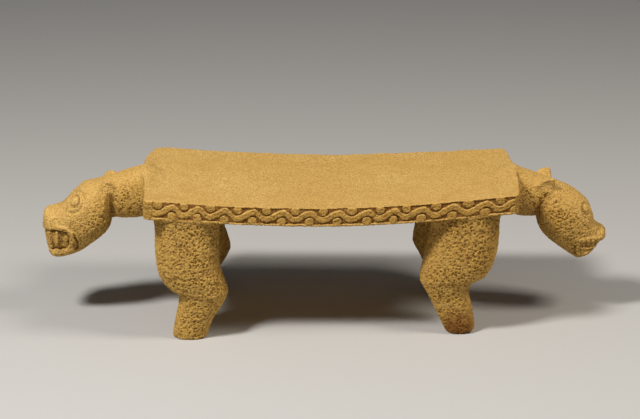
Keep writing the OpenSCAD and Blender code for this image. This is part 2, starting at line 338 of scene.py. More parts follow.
def peck_marks(table, x, y, z, size):
    """1 in the middle of a scattered round peck mark, 0 outside; marks differ in size."""
    p = [np.asarray(c, float) / size + 100 for c in (x, y, z)]
    low = [np.floor(c).astype(np.int32) for c in p]
    best = np.zeros(np.broadcast(*p).shape)
    for step in NEIGHBOURS:
        cell = [a + b for a, b in zip(low, step)]
        i, j, k = [c & 31 for c in cell]
        jx = table[i, j, k]
        jy = table[j, k, i]
        jz = table[k, i, (j + 7) & 31]
        radius = 0.28 + 0.42 * table[(i + 5) & 31, (k + 3) & 31, j]
        r2 = (p[0] - cell[0] - jx) ** 2 + (p[1] - cell[1] - jy) ** 2 + (p[2] - cell[2] - jz) ** 2
        best = np.maximum(best, 1 - r2 / radius ** 2)
    return best


BROAD, MEDIUM, FINE, PITS, CHIPS = (noise_table(seed) for seed in (11, 12, 13, 14, 15))

# ---- the carved band

WAVE_COUNT = 13
WAVE_LEN = 2 * FRIEZE_HALF / WAVE_COUNT
WAVE_AMP = 3.6
WAVE_EDGE = (2.4, 3.4)
BOSS_EDGE = (3.9, 5.2)
BAND_RELIEF = 2.4
GROUND_LEVEL = 0.35
TOP_BOSS_LEVEL = 6.3
LOW_BOSS_LEVEL = -4.9


def band_relief(x, z):
    """Height of the carving on a long edge: a bottom border, a running wave and bosses in its bends."""
    t = z - top_z(x) + EDGE_H / 2
    t = t + 0.5 * value_noise(MEDIUM, x, 0 * x, 0 * x, 19)
    run = x + FRIEZE_HALF + 1.8 * value_noise(BROAD, x, 0 * x, 0 * x, 41) - 0.11 * np.maximum(x - 85, 0)
    run = run + 2.2 * ramp(x, -185, -150) * (1 - ramp(x, -110, -40))
    phase = 2 * math.pi * run / WAVE_LEN
    wave = 0.5 - WAVE_AMP * np.sin(phase + 0.3 * np.sin(phase))
    slope = WAVE_AMP * 2 * math.pi / WAVE_LEN * np.cos(phase)
    ragged = 0.35 * value_noise(FINE, x, z, 0 * x, 3.3)
    height = 1 - ramp(np.abs(t - wave) / np.hypot(1, 0.8 * slope) + ragged, *WAVE_EDGE)
    turn = (phase / (2 * math.pi)) % 1
    for place, level in ((0.25, TOP_BOSS_LEVEL), (0.75, LOW_BOSS_LEVEL)):
        away = ((turn - place + 0.5) % 1 - 0.5) * WAVE_LEN
        radius = np.hypot(away, 1.1 * (t - level))
        height = np.maximum(height, 1 - ramp(radius + ragged, *BOSS_EDGE))
    height = np.maximum(height, ramp(-t, 7.3, 8.1))
    height = np.maximum(height, 0.9 * ramp(t, 8.7, 9.3))
    plain = ramp(-x, FRIEZE_HALF - 4, FRIEZE_HALF - 1) + ramp(x, SLAB_HALF - 5, SLAB_HALF - 2)
    height = height + (0.8 - height) * plain
    worn = 0.78 + 0.22 * value_noise(BROAD, x, z, 0 * x, 23)
    return BAND_RELIEF * (height * worn - GROUND_LEVEL)


def slab_field(x, y, z):
    """The platform with its saddle top, bowed edges, end rims and carved bands."""
    wobble = 0.7 * value_noise(MEDIUM, x, y, 0 * x, 22)
    chip = 1.5 * ramp(value_noise(CHIPS, x, y, 0 * x, 8), 0.25, 0.8) * ramp(z - top_z(x), -4, -0.5)
    side = np.abs(y) - side_y(x) - band_relief(x, z) - wobble + chip
    end_bow = bow(x, y, SLAB_HALF) + wobble
    inner_bow = bow(x, y, FRIEZE_HALF)
    end = np.abs(x) - SLAB_HALF - end_bow
    half = np.where(x < 0, side_y(-SLAB_HALF), side_y(SLAB_HALF))
    crest = np.cos(np.clip(y / half, -1, 1) * math.pi / 2) ** 2
    rise = RIM_RISE * crest * ramp(np.abs(x) - FRIEZE_HALF - inner_bow, -7, 6)
    hollow = 0.5 * value_noise(BROAD, x, y, 0 * x, 60)
    top = z - top_z(x) - rise - hollow
    bottom = -underside(x, z)
    corner = 5.0 + 8.0 * ramp(y, 40, 90) * (x < 0)
    plan = round_max(side, end, corner)
    return round_max(round_max(plan, top, TOP_EDGE_ROUND), bottom, LOW_EDGE_ROUND)


# ---- the animals


def left_relief(x, z):
    """Carving on the sides of the left head, as a height over its smooth form."""
    lip = path_distance(x, z, [(292, 103.0), (283.0, 102.4), (276.4, 97.6), (274.2, 89), (276.0, 77.5)])
    h = 1.5 * mound(lip, 3.2)
    crescent = [(272.8, 92.5), (270.6, 88.0), (270.2, 83.5), (272.0, 79.0)]
    h = h - 3.4 * ridge(x, z, crescent, 2.5)
    nostril = np.hypot(x - 293.0, z - 107.5)
    h = h - 0.9 * mound(np.abs(nostril - 3.0), 1.7) * ramp(z, 104, 108)
    h = h + 3.2 * ridge(x, z, [(239.5, 147), (240.5, 138), (241.6, 122)], 5.5)
    return h


def left_mouth(x, y, z):
    """The open mouth of the left head, which runs round the front, with its teeth."""
    opening = polygon_distance(x, z, [(312, 98.5), (292, 100.0), (282.0, 98.6), (277.6, 92.5), (278.6, 82.0),
                                      (283.0, 77.0), (312, 75.5)])
    h = -4.0 * (1 - ramp(opening, -1.5, 0.7))
    h = h - 2.2 * ridge(x, z, [(306, 97.4), (292, 98.6), (282.0, 97.0)], 2.0)
    h = h - 1.4 * ridge(x, z, [(302, 76.8), (285.0, 78.2)], 2.0)
    across = np.abs(y)
    front = ramp(x, 296, 300.5)
    fang = ridge(x, z, [(292.0, 97), (292.6, 83)], 3.6)
    h = h + 3.4 * fang * ramp(across, 8, 13)
    corner = ridge(x, z, [(300.6, 97), (299.4, 78)], 3.6)
    h = h + 3.4 * corner * ramp(across, 6, 10)
    h = h - 1.6 * ridge(x, z, [(286.8, 95.0), (286.4, 84.0)], 2.4) * ramp(across, 8, 13)
    h = h + 1.8 * ridge(x, z, [(281.8, 82.0), (282.4, 92.0)], 2.8) * ramp(across, 8, 13)
    h = h + 3.0 * front * mound(np.abs(across - 9.0), 3.0) * ramp(opening, 0, -1.5)
    incisor = 1 - np.abs(((across + 2.0) % 4.0) / 2.0 - 1.0)
    row = mound(np.abs(z - 95.0), 4.5) + mound(np.abs(z - 79.0), 4.5)
    h = h + 2.4 * front * row * ramp(incisor, 0.15, 0.6) * (1 - ramp(across, 5.5, 6.5))
    h = h + 2.0 * ridge(x, z, [(306, 71.0), (286, 72.0), (275, 76.0)], 4.6)
    return h


def right_relief(x, z):
    """Carving on the sides of the right head."""
    ring = np.hypot(x - 242.0, z - 129.0)
    h = -2.2 * mound(ring, 2.5) - 0.7 * mound(np.abs(ring - 5.2), 1.8)
    cheek = [(264.5, 112.4), (268.9, 107.6), (272.0, 103.6), (274.6, 100.0)]
    h = h - 1.0 * ridge(x, z, cheek, 2.4)
    h = h + 0.5 * ridge(x, z, [(267.5, 114.0), (272.4, 108.6), (277.5, 102.0)], 3.0)
    h = h - 2.2 * ridge(x, z, [(264.5, 79.0), (265.0, 69.0)], 2.5)
    nostril = np.hypot(x - 289.9, z - 91.4)
    h = h - 0.8 * mound(np.abs(nostril - 3.0), 1.6)
    return h


def right_mouth(x, y, z):
    """The narrower mouth of the right head, which runs round the front, with its teeth."""
    opening = polygon_distance(x, z, [(303, 82.6), (271.5, 83.8), (269.0, 80.5), (271.5, 77.0), (303, 76.5)])
    h = -2.8 * (1 - ramp(opening, -1.4, 0.8))
    across = np.abs(y)
    for place in (273.5, 278.5, 283.5):
        tooth = ridge(x, z, [(place, 84), (place + 0.3, 79.8)], 2.7)
        h = h + 2.3 * tooth * ramp(across, 8, 12)
    front = ramp(x, 285, 289)
    incisor = 1 - np.abs(((across + 2.2) % 4.4) / 2.2 - 1.0)
    h = h + 2.0 * front * mound(np.abs(z - 82.5), 4.0) * ramp(incisor, 0.15, 0.6) * (1 - ramp(across, 8, 10))
    lip = path_distance(x, z, [(297, 86.4), (284, 87.2), (270.5, 86.8), (266.5, 81.0), (267.5, 74.0)])
    h = h + 1.2 * mound(lip, 3.2)
    h = h + 2.0 * ridge(x, z, [(288, 72.0), (279, 69.0), (270.5, 68.5)], 4.8)
    return h


ANIMALS = {
    "left": {"relief": left_relief,
             "mouth": left_mouth,
             "nostril": (6.0, 107.5),
             "eye": (273.2, 130.4),
             "eye_disc": (2.4, 3.2, 5.2),
             "eye_rings": [(-1.2, 6.6, 2.2), (1.0, 9.4, 2.6), (-0.9, 12.4, 2.6)],
             "swells": [(303, 113, 12, 2.0), (288, 127, 13, -1.6), (264, 145, 13, 1.8)],
             "ear": [(228, 147), (230.5, 151.4), (234, 153.2), (240, 152.8), (242.2, 149.5),
                     (242, 145), (239, 139), (229, 139)],
             "fold": [(234.2, 131), (232.6, 121), (234.2, 108)],
             "shades": [(232.5, 122, 12, 0.9), (231, 112, 14, 0.7), (204, 124, 14, 0.4)]},
    "right": {"relief": right_relief,
              "mouth": right_mouth,
              "nostril": (5.5, 91.5),
              "eye": (276.0, 119.4),
              "eye_disc": (1.5, 2.2, 4.8),
              "eye_rings": [(-0.8, 6.2, 2.2), (0.6, 9.2, 2.6)],
              "swells": [(297.5, 91.5, 8, 2.2), (288.5, 103, 8, -3.2), (279, 122, 10, 0.6)],
              "ear": [(222, 146), (227, 151.6), (232.5, 154.2), (240, 154), (241.2, 147.5),
                      (238, 139), (227, 139)],
              "fold": [(231.6, 133), (228.4, 126), (224.4, 116), (222.5, 108)],
              "shades": [(229, 127, 12, 0.9), (222, 116, 17, 0.9), (208, 124, 14, 0.6),
                         (241, 96, 20, 0.5), (259, 76, 14, 0.4)]},
}


def depth_inside(field, points):
    """Index of the first of the points that lies outside the field."""
    return int((field(*points.T) < 0).sum())


for name, animal in ANIMALS.items():
    reach = np.linspace(0, 40, 401)
    eye_x, eye_z = animal["eye"]
    ray = np.stack([0 * reach + eye_x, reach, 0 * reach + eye_z], 1)
    animal["eye_y"] = reach[depth_inside(lofts[name].field, ray)]
    nostril_y, nostril_z = animal["nostril"]
    ray = np.stack([280 + reach, 0 * reach + nostril_y, 0 * reach + nostril_z], 1)
    animal["nostril_x"] = 280 + reach[depth_inside(lofts[name].field, ray)]

EAR_Y = 19.0
EAR_BASE_Z = 145.0
EAR_LEAN = 0.28
EAR_HALF_THICK = 3.2
NOSTRIL_R = 3.4


def ear_field(x, y, z, outline):
    """A small ear that leans outward, slightly hollow on its outer side."""
    across = np.abs(y) - EAR_Y
    u = across * math.cos(EAR_LEAN) - (z - EAR_BASE_Z) * math.sin(EAR_LEAN)
    flap = round_max(polygon_distance(x, z, outline), np.abs(u) - EAR_HALF_THICK, 2.8)
    middle_x, middle_z = np.mean(outline, axis=0)
    cup = np.sqrt((x - middle_x) ** 2 + (u - 9.0) ** 2 + (z - middle_z - 1.5) ** 2) - 6.4
    return round_max(flap, -cup, 1.5)


SIDE_MASK = (6.0, 13.0)
EAR_BLEND = 6.5
NECK_BLEND = 7.0
LEG_BLEND = 3.4


def fold_depth(animal, x, y, z):
    """1 in the hollow behind an ear, 0 away from it."""
    return ridge(x, z, animal["fold"], 8.0) * ramp(np.abs(y), 11, 18)


def animal_field(side, x, y, z):
    """Neck and head at one end; x counts outward here."""
    animal = ANIMALS[side]
    d = lofts[side].field(x, y, z)
    flank = ramp(np.abs(y), *SIDE_MASK)
    eye_x, eye_z = animal["eye"]
    eye = np.sqrt((x - eye_x) ** 2 + (np.abs(y) - animal["eye_y"]) ** 2 + (z - eye_z) ** 2)
    rise, inner, outer = animal["eye_disc"]
    d = d - rise * (1 - ramp(eye, inner, outer))
    for rise, radius, width in animal["eye_rings"]:
        d = d - rise * mound(np.abs(eye - radius), width)
    d = d - animal["relief"](x, z) * flank - animal["mouth"](x, y, z)
    d = d + 4.5 * fold_depth(animal, x, y, z)
    for at_x, at_z, width, rise in animal["swells"]:
        d = d - rise * mound(np.hypot(x - at_x, z - at_z), width)
    nostril_y, nostril_z = animal["nostril"]
    nostril = np.sqrt((x - animal["nostril_x"] - 2) ** 2 + (np.abs(y) - nostril_y) ** 2
                      + (z - nostril_z) ** 2) - NOSTRIL_R
    d = round_max(d, -nostril, 1.0)
    return blend_min(d, ear_field(x, y, z, animal["ear"]), EAR_BLEND)


def stone_field(x, y, z, parts):
    """The whole block, or those parts of it that matter near a piece."""
    d = slab_field(x, y, z) if "slab" in parts else None
    for name in parts:
        if name == "slab":
            continue
        outward = -x if "left" in name else x
        if name in ANIMALS:
            other = animal_field(name, outward, y, z)
            reach = NECK_BLEND
        else:
            other = lofts[name].field(outward, y, z)
            reach = LEG_BLEND
        d = other if d is None else blend_min(d, other, reach)
    return d


# ---- meshing
# A mesh is a tuple of points, looks (how much painted shade and stain darken each point, and how pecked it
# is), triangles and the cuts' edges.


def surface_net(field, low, high, pitch):
    """Points and quads of the field's zero surface inside a box. Grids of equal pitch line up."""
    start = np.floor(np.array(low) / pitch).astype(int)
    stop = np.ceil(np.array(high) / pitch).astype(int)
    xs, ys, zs = (np.arange(a, b + 1) * pitch for a, b in zip(start, stop))
    values = field(xs[:, None, None], ys[None, :, None], zs[None, None, :])
    inside = values < 0
    nx, ny, nz = (n - 1 for n in values.shape)
    count = sum(inside[i:i + nx, j:j + ny, k:k + nz].astype(np.int8) for i, j, k in CORNERS)
    cells = np.argwhere((count > 0) & (count < 8))
    number = np.full((nx, ny, nz), -1, np.int64)
    number[tuple(cells.T)] = np.arange(len(cells))
    total = np.zeros((len(cells), 3))
    crossings = np.zeros(len(cells))
    for a in CORNERS:
        for axis in range(3):
            if a[axis]:
                continue
            b = tuple(c + (n == axis) for n, c in enumerate(a))
            va = values[tuple((cells + a).T)]
            vb = values[tuple((cells + b).T)]
            cross = (va < 0) != (vb < 0)
            t = va / np.where(cross, va - vb, 1)
            point = np.array(a, float) + np.outer(t, np.array(b) - np.array(a))
            total[cross] += point[cross]
            crossings += cross
    points = (cells + total / crossings[:, None] + start) * pitch
    quads = []
    for axis in range(3):
        u, v = (axis + 1) % 3, (axis + 2) % 3
        edges = np.argwhere(np.diff(inside, axis=axis))
        across = edges[:, [u, v]]
        last = np.array(values.shape)[[u, v]] - 1
        edges = edges[((across > 0) & (across < last)).all(1)]
        shift_u, shift_v = np.eye(3, dtype=int)[[u, v]]
        around = ((1, 1), (0, 1), (0, 0), (1, 0))
        ring = [number[tuple((edges - shift_u * p - shift_v * q).T)] for p, q in around]
        quad = np.stack(ring, 1)
        outward = inside[tuple(edges.T)]
        quad[~outward] = quad[~outward][:, ::-1]
        quads.append(quad)
    return points, np.concatenate(quads)


def gradient(field, p, step=0.25):
    value = field(*p.T)
    slopes = []
    for axis in range(3):
        moved = p.copy()
        moved[:, axis] += step
        slopes.append((field(*moved.T) - value) / step)
    return value, np.stack(slopes, 1)


def settle(field, p, pitch, rounds=2):
    """Moves points onto the zero surface and returns them with their outward normals."""
    for _ in range(rounds):
        value, slope = gradient(field, p)
        size = np.maximum((slope ** 2).sum(1), 0.05)
        move = -(value / size)[:, None] * slope
        length = np.linalg.norm(move, axis=1)
        move *= np.minimum(1, pitch / np.maximum(length, 1e-9))[:, None]
        p = p + move
    _, slope = gradient(field, p)
    return p, slope / np.maximum(np.linalg.norm(slope, axis=1), 1e-9)[:, None]


STAIN_SPOT = (136.0, -88.0, 4.0)
STAIN_R = 36
STAIN_STRENGTH = 1.4
# Cap on how much painted shade and stain darken a point
MOST_SHADE_AND_STAIN = 1.1
PECK_SIZE = 2.7
CREASE_SIZE = 2.9
# How much smoother than the rest these places are
SMOOTH_TOP = 0.80
SMOOTH_BACK = 0.65
SMOOTH_FACE = 0.5
SMOOTH_BAND = 0.35
SMOOTH_EYE = 0.6
SMOOTH_EAR = 0.85


def tool_marks(p, normal):
    """Height of the pecked surface over the smooth form, and per point how much painted shade and stain
    darken it and how rough it looks.
    """
    x, y, z = p.T
    outward = np.abs(x)
    on_slab = (1 - ramp(outward, SLAB_HALF, SLAB_HALF + 14)) * ramp(underside(x, z), -1, 3)
    on_top = ramp(normal[:, 2], 0.45, 0.85) * on_slab
    on_back = ramp(normal[:, 2], 0.05, 0.7) * ramp(outward, SLAB_HALF - 2, SLAB_HALF + 12) * ramp(z, 75, 95)
    band = on_slab * (1 - on_top) * ramp(np.abs(y), 80, 90)
    muzzle = ramp(outward, np.where(x < 0, 236, 254), np.where(x < 0, 268, 280))
    face = muzzle * ramp(normal[:, 2], -0.5, 0.3)
    rough = (1 - SMOOTH_TOP * on_top) * (1 - SMOOTH_BACK * on_back) * (1 - SMOOTH_FACE * face)
    rough = rough * (1 - SMOOTH_BAND * band)
    shadow = 0
    carving = 0
    for side, animal in ANIMALS.items():
        here = (x < 0) == (side == "left")
        eye = np.hypot(outward - animal["eye"][0], z - animal["eye"][1])
        rough = rough * (1 - SMOOTH_EYE * here * mound(eye, 20))
        ear_x, ear_z = np.mean(animal["ear"], axis=0)
        ear = np.sqrt((outward - ear_x) ** 2 + (np.abs(y) - EAR_Y) ** 2 + (z - ear_z - 2) ** 2)
        rough = rough * (1 - SMOOTH_EAR * here * mound(ear, 19))
        flank = here * ramp(np.abs(y), *SIDE_MASK)
        for at_x, at_z, radius, strength in animal["shades"]:
            shadow = shadow + strength * flank * mound(np.hypot(outward - at_x, z - at_z), radius)
        # Painted shade inside the mouths and in the carved grooves on the heads' sides.
        carving = carving + (0.38 * here * ramp(-animal["mouth"](outward, y, z), 1.0, 3.5)
                             + 0.6 * flank * ramp(-animal["relief"](outward, z), 0.6, 2.4))
    patch = 0.8 + 0.2 * value_noise(CHIPS, x, y, z, 11)
    rough = np.clip(rough * patch, 0, 1)
    soft = 0.35 * value_noise(BROAD, x, y, z, 19) * (1 - 0.6 * band)
    crease = np.abs(value_noise(MEDIUM, x, y, z, CREASE_SIZE))
    pit = ramp(peck_marks(PITS, x, y, z, PECK_SIZE), 0.0, 0.75)
    height = soft + rough * (0.95 * np.sqrt(crease) - 1.35 * pit + 0.1)
    pecks = np.clip(pit + 0.55 * (1 - 3.0 * crease), 0, 1)
    # Painted shade: pecks and creases are darkened where shade would fall in them, more where the stone is
    # rougher.
    shade_and_stain = 0.80 * rough * pecks
    shadow = np.minimum(shadow, 1) * (0.45 + 0.55 * pecks)
    ground = 1 - (band_relief(x, z) / BAND_RELIEF + GROUND_LEVEL) / 0.75
    spot = np.sqrt((x - STAIN_SPOT[0]) ** 2 + (y - STAIN_SPOT[1]) ** 2 + (z - STAIN_SPOT[2]) ** 2)
    stain = STAIN_STRENGTH * mound(spot + 4 * value_noise(CHIPS, x, y, z, 5), STAIN_R)
    # Painted shade in the carved band, deepest on its sunken ground; the whole band is also darkened a
    # little.
    groove = band * (0.34 + 0.66 * np.clip(ground, 0, 1))
    # Each point takes the strongest of its painted shade and the toe stain.
    shade_and_stain = np.clip(np.max([shade_and_stain, groove, stain, shadow + carving], axis=0), 0, MOST_SHADE_AND_STAIN)
    return height, np.stack([shade_and_stain, np.maximum(rough, 0.95 * band)], 1)


def cut(mesh, side_of, flat):
    """Keeps the part where side_of is negative and closes the cut. flat gives the cut's 2D coordinates."""
    points, looks, tris, seams = mesh
    g = side_of(*points.T)
    g = np.where(np.abs(g) < 1e-4, -1e-4, g)
    out = g > 0
    state = out[tris]
    kept = tris[~state.any(1)]
    mixed = tris[state.any(1) & ~state.all(1)]
    if not len(mixed):
        return points, looks, kept, seams
    lone_out = out[mixed].sum(1) == 1
    lone = np.where(lone_out[:, None], out[mixed], ~out[mixed]).argmax(1)
    rows = np.arange(len(mixed))
    a = mixed[rows, lone]
    b = mixed[rows, (lone + 1) % 3]
    c = mixed[rows, (lone + 2) % 3]
    pairs = np.sort(np.concatenate([np.stack([a, b], 1), np.stack([c, a], 1)]), axis=1)
    unique, index = np.unique(pairs, axis=0, return_inverse=True)
    index = index.reshape(-1)
    t = (g[unique[:, 0]] / (g[unique[:, 0]] - g[unique[:, 1]]))[:, None]
    fresh = points[unique[:, 0]] + t * (points[unique[:, 1]] - points[unique[:, 0]])
    fresh_looks = looks[unique[:, 0]] + t * (looks[unique[:, 1]] - looks[unique[:, 0]])
    base = len(points)
    ab = base + index[:len(mixed)]
    ca = base + index[len(mixed):]
    keep_lone = ~lone_out
    corner = np.stack([a, ab, ca], 1)[keep_lone]
    rest_one = np.stack([ab, b, c], 1)[lone_out]
    rest_two = np.stack([ab, c, ca], 1)[lone_out]
    points = np.concatenate([points, fresh])
    looks = np.concatenate([looks, fresh_looks])
    steps = np.concatenate([np.stack([ca, ab], 1)[keep_lone], np.stack([ab, ca], 1)[lone_out]])
    loops = closed_loops(steps.tolist(), points)
    cap, extra = fill(points, loops, flat)
    edges = np.array([(loop[n - 1], v) for loop in loops for n, v in enumerate(loop)], int).reshape(-1, 2)
    tris = np.concatenate([kept, corner, rest_one, rest_two, cap])
    points = np.concatenate([points, extra])
    looks = np.concatenate([looks, np.zeros((len(extra), 2))])
    return points, looks, tris, np.concatenate([seams, edges])


def cut_all(mesh, *cuts):
    """Makes several cuts, each given as side_of and flat."""
    for side_of, flat in cuts:
        mesh = cut(mesh, side_of, flat)
    return mesh


def closed_loops(steps, points):
    """Loops made of steps from one point to the next. Loops may touch at a point, and a gap is bridged."""
    following = {}
    balance = {}
    for here, there in steps:
        following.setdefault(here, []).append(there)
        balance[here] = balance.get(here, 0) + 1
        balance[there] = balance.get(there, 0) - 1
    starts = [v for v, count in balance.items() if count > 0]
    ends = [v for v, count in balance.items() if count < 0]
    for end in ends[:len(starts)]:
        start = min(starts, key=lambda v: np.linalg.norm(points[v] - points[end]))
        starts.remove(start)
        following.setdefault(end, []).append(start)
    loops = []
    for start in following:
        while following[start]:
            loop = [start]
            here = following[start].pop()
            while here != start and following.get(here):
                loop.append(here)
                here = following[here].pop()
            if here == start and len(loop) > 2:
                loops.append(loop)
    return loops


def inside_loops(places, uv, edges):
    """Whether each 2D place lies inside an odd number of the loops."""
    a, b = uv[np.array(edges)].transpose(1, 0, 2)
    u, v = places.T[:, :, None]
    spans = (a[:, 1] > v) != (b[:, 1] > v)
    rise = np.where(a[:, 1] == b[:, 1], 1, b[:, 1] - a[:, 1])
    right = u < a[:, 0] + (v - a[:, 1]) / rise * (b[:, 0] - a[:, 0])
    return (spans & right).sum(1) % 2 == 1


WITHIN_EDGES = 1
SAME_PLACE = 1e-5


def fill(points, loops, flat):
    """Triangles that close loops of boundary points. Those left and right of 2D zero are wound separately."""
    nothing = np.zeros((0, 3), int), np.zeros((0, 3))
    if not loops:
        return nothing
    order = [v for loop in loops for v in loop]
    uv = np.stack(flat(*points[order].T), 1)
    edges = []
    start = 0
    for loop in loops:
        n = len(loop)
        edges += [(start + i, start + (i + 1) % n) for i in range(n)]
        start += n
    out_verts, _, out_faces, orig, _, _ = delaunay_2d_cdt(
        [Vector(p) for p in uv], edges, [], WITHIN_EDGES, SAME_PLACE)
    if not out_faces:
        return nothing
    flat_verts = np.array([tuple(p) for p in out_verts])
    out_faces = np.array(out_faces)[inside_loops(flat_verts[np.array(out_faces)].mean(1), uv, edges)]
    lookup = []
    extra = []
    for sources, place in zip(orig, out_verts):
        if sources:
            lookup.append(order[sources[0]])
            continue
        nearest = np.argmin(((uv - np.array(place)) ** 2).sum(1))
        lookup.append(len(points) + len(extra))
        extra.append(points[order[nearest]])
    cap = np.array(lookup)[out_faces].reshape(-1, 3)
    right = flat_verts[out_faces].mean(1)[:, 0] > 0
    whole = (cap[:, 0] != cap[:, 1]) & (cap[:, 1] != cap[:, 2]) & (cap[:, 2] != cap[:, 0])
    wanted = {(loop[n - 1], v) for loop in loops for n, v in enumerate(loop)}
    for group in (whole & right, whole & ~right):
        sides = [(t[n - 1], t[n]) for t in cap[group].tolist() for n in range(3)]
        if sum(side[::-1] in wanted for side in sides) > sum(side in wanted for side in sides):
            cap[group] = cap[group][:, ::-1]
    return cap[whole], np.array(extra, float).reshape(-1, 3)


def biggest_shell(points, tris):
    """Drops crumbs that a cut leaves: only triangles joined to the biggest shell stay."""
    label = np.arange(len(points))
    while True:
        corner = label[tris]
        low = corner.min(1)
        if (corner == low[:, None]).all():
            break
        hook = np.arange(len(points))
        for n in range(3):
            np.minimum.at(hook, corner[:, n], low)
        while (hook[hook] != hook).any():
            hook = hook[hook]
        label = hook[label]
    names, counts = np.unique(label[tris[:, 0]], return_counts=True)
    return tris[label[tris[:, 0]] == names[counts.argmax()]]


def add_object(name, data):
    """Puts a new object into the scene."""
    obj = bpy.data.objects.new(name, data)
    bpy.context.scene.collection.objects.link(obj)
    return obj


def make_object(name, mesh, whole=False):
    points, looks, tris, seams = mesh
    if not whole:
        tris = biggest_shell(points, tris)
    used, compact = np.unique(tris, return_inverse=True)
    tris = compact.reshape(-1, 3)
    points = (points[used] + (SLAB_MID, 0, 0)) * MM
    data = bpy.data.meshes.new(name)
    data.vertices.add(len(points))
    data.vertices.foreach_set("co", points.astype(np.float32).ravel())
    data.loops.add(tris.size)
    data.loops.foreach_set("vertex_index", tris.astype(np.int32).ravel())
    data.polygons.add(len(tris))
    data.polygons.foreach_set("loop_start", np.arange(0, tris.size, 3, dtype=np.int32))
    data.update(calc_edges=True)
    data.validate()
    data.polygons.foreach_set("use_smooth", np.ones(len(data.polygons), bool))
    # The "hollow" attribute holds painted shade and a toe stain; "pecked" holds how rough the stone is.
    for n, attribute in enumerate(("hollow", "pecked")):
        layer = data.attributes.new(attribute, "FLOAT", "POINT")
        layer.data.foreach_set("value", looks[used, n].astype(np.float32))
    if len(seams):
        position = np.full(used.max() + 1, -1)
        position[used] = np.arange(len(used))
        pairs = seams[(seams <= used.max()).all(1)]
        pairs = np.sort(position[pairs], axis=1)
        wanted = pairs[:, 0] * len(used) + pairs[:, 1]
        edge = np.zeros(len(data.edges) * 2, np.int32)
        data.edges.foreach_get("vertices", edge)
        edge = np.sort(edge.reshape(-1, 2), axis=1).astype(np.int64)
        sharp = np.isin(edge[:, 0] * len(used) + edge[:, 1], wanted)
        mark = data.attributes.get("sharp_edge") or data.attributes.new("sharp_edge", "BOOLEAN", "EDGE")
        mark.data.foreach_set("value", sharp)
    return add_object(name, data)


WALL_INSET = 1.6


def sculpt(parts, span_x, span_y, span_z, pitch=PITCH):
    """Meshes the block inside a box, with its tool marks. Walls just inside the box keep the mesh closed."""
    spans = (span_x, span_y, span_z)

    def field(x, y, z):
        d = stone_field(x, y, z, parts)
        for place, (a, b) in zip((x, y, z), spans):
            d = np.maximum(d, np.abs(place - (a + b) / 2) - (b - a) / 2 + WALL_INSET * pitch)
        return d

    points, quads = surface_net(field, *zip(*spans), pitch)
    points, normal = settle(field, points, pitch)
    height, looks = tool_marks(points, normal)
    points = points + normal * height[:, None]
    points[:, 2] = np.maximum(points[:, 2], 0)
    tris = np.concatenate([quads[:, [0, 1, 2]], quads[:, [0, 2, 3]]])
    return points, looks, tris, np.zeros((0, 2), int)


# ---- where the pieces meet

APART = 2000.0


def xy(x, y, z):
    return x, y


def yz(x, y, z):
    """Seen along x, with what lies at the two ends kept apart."""
    return y + APART * np.sign(x), z


def xz(x, y, z):
    """Seen along y, with what lies in front and behind kept apart."""
    return x + APART * np.sign(y), z


def slanting(x, y, z):
    """Seen from above and to the side, the way an ear stands."""
    return x + APART * np.sign(y), z - np.abs(y)


LEG_CUT = -2.0
CLEAR_OF_END = 5.0
NECK_LEAN = 2.3
LEAN_FROM_Z = 152
LEAN_DEPTH = 17.5
LEAN_FADE_Y = (28, 37)


def past_rim(x, y, z):
    """Positive beyond the line between slab and rim."""
    return np.abs(x) - FRIEZE_HALF - bow(x, y, FRIEZE_HALF)


def past_neck_root(x, y, z):
    """Positive in the neck.

    Under the slab's top the cut leans inward, so that the neck keeps its root. Beside the neck it stands
    clear of the slab's end face.
    """
    lean = NECK_LEAN * np.clip(LEAN_FROM_Z - z, 0, LEAN_DEPTH) * (1 - ramp(np.abs(y), *LEAN_FADE_Y))
    beside = np.where(x < 0, lofts["left"].field(-x, y, z), lofts["right"].field(x, y, z))
    return np.abs(x) - SLAB_HALF - bow(x, y, SLAB_HALF) + lean - CLEAR_OF_END * ramp(beside, 0, 4)


def below_slab(x, y, z):
    """Positive under the slab and in the legs. The cut lies a little below the slab's underside."""
    return LEG_CUT - underside(x, z)


def in_band(x, y, z):
    """Positive in the carved band of a long edge."""
    return np.abs(y) - side_y(x) + FRIEZE_DEPTH


def flip(function):
    return lambda x, y, z: -function(x, y, z)


def section_line(stations, joint):
    """Positive outward of the section at that station."""
    x0, z0, x1, z1, _ = stations[joint]
    length = math.hypot(x0 - x1, z0 - z1)
    return lambda x, y, z: ((np.abs(x) - x1) * (z0 - z1) - (z - z1) * (x0 - x1)) / length


def ball(place, radius):
    """Negative inside a ball on the front or back side of a head."""
    px, py, pz = place
    return lambda x, y, z: np.sqrt((np.abs(x) - px) ** 2 + (y - py) ** 2 + (z - pz) ** 2) - radius


# Where a head is cut: the line from the neck to the corner of the mouth, how it goes on over and under the
# teeth, and the ball round an eye
JAWS = {
    "left": {"cheek": [(240, 84), (272, 76), (277.5, 77)],
             "over_teeth": [(280, 97.0), (312, 97.5)],
             "under_teeth": [(280, 74.2), (312, 73)],
             "eye": (272.4, 23.0, 131.0),
             "eye_cut": 6.4},
    "right": {"cheek": [(228, 78), (262, 74), (267.5, 75)],
              "over_teeth": [(270, 85.6), (304, 84.6)],
              "under_teeth": [(270, 73.6), (304, 73)],
              "eye": (275.5, 21.5, 118.8),
              "eye_cut": 6.2},
}
EAR_CUT = 9.5
NECK_END_STATION = 4
TEETH_INSET = 0.5


def behind(place):
    """Positive on the neck's side of that distance."""
    return lambda x, y, z: place - np.abs(x)


def over_line(points):
    """Height over a line drawn outward in the XZ plane."""
    xs, zs = np.array(points, float).T
    return lambda x, y, z: z - np.interp(np.abs(x), xs, zs)


stone_pieces = []


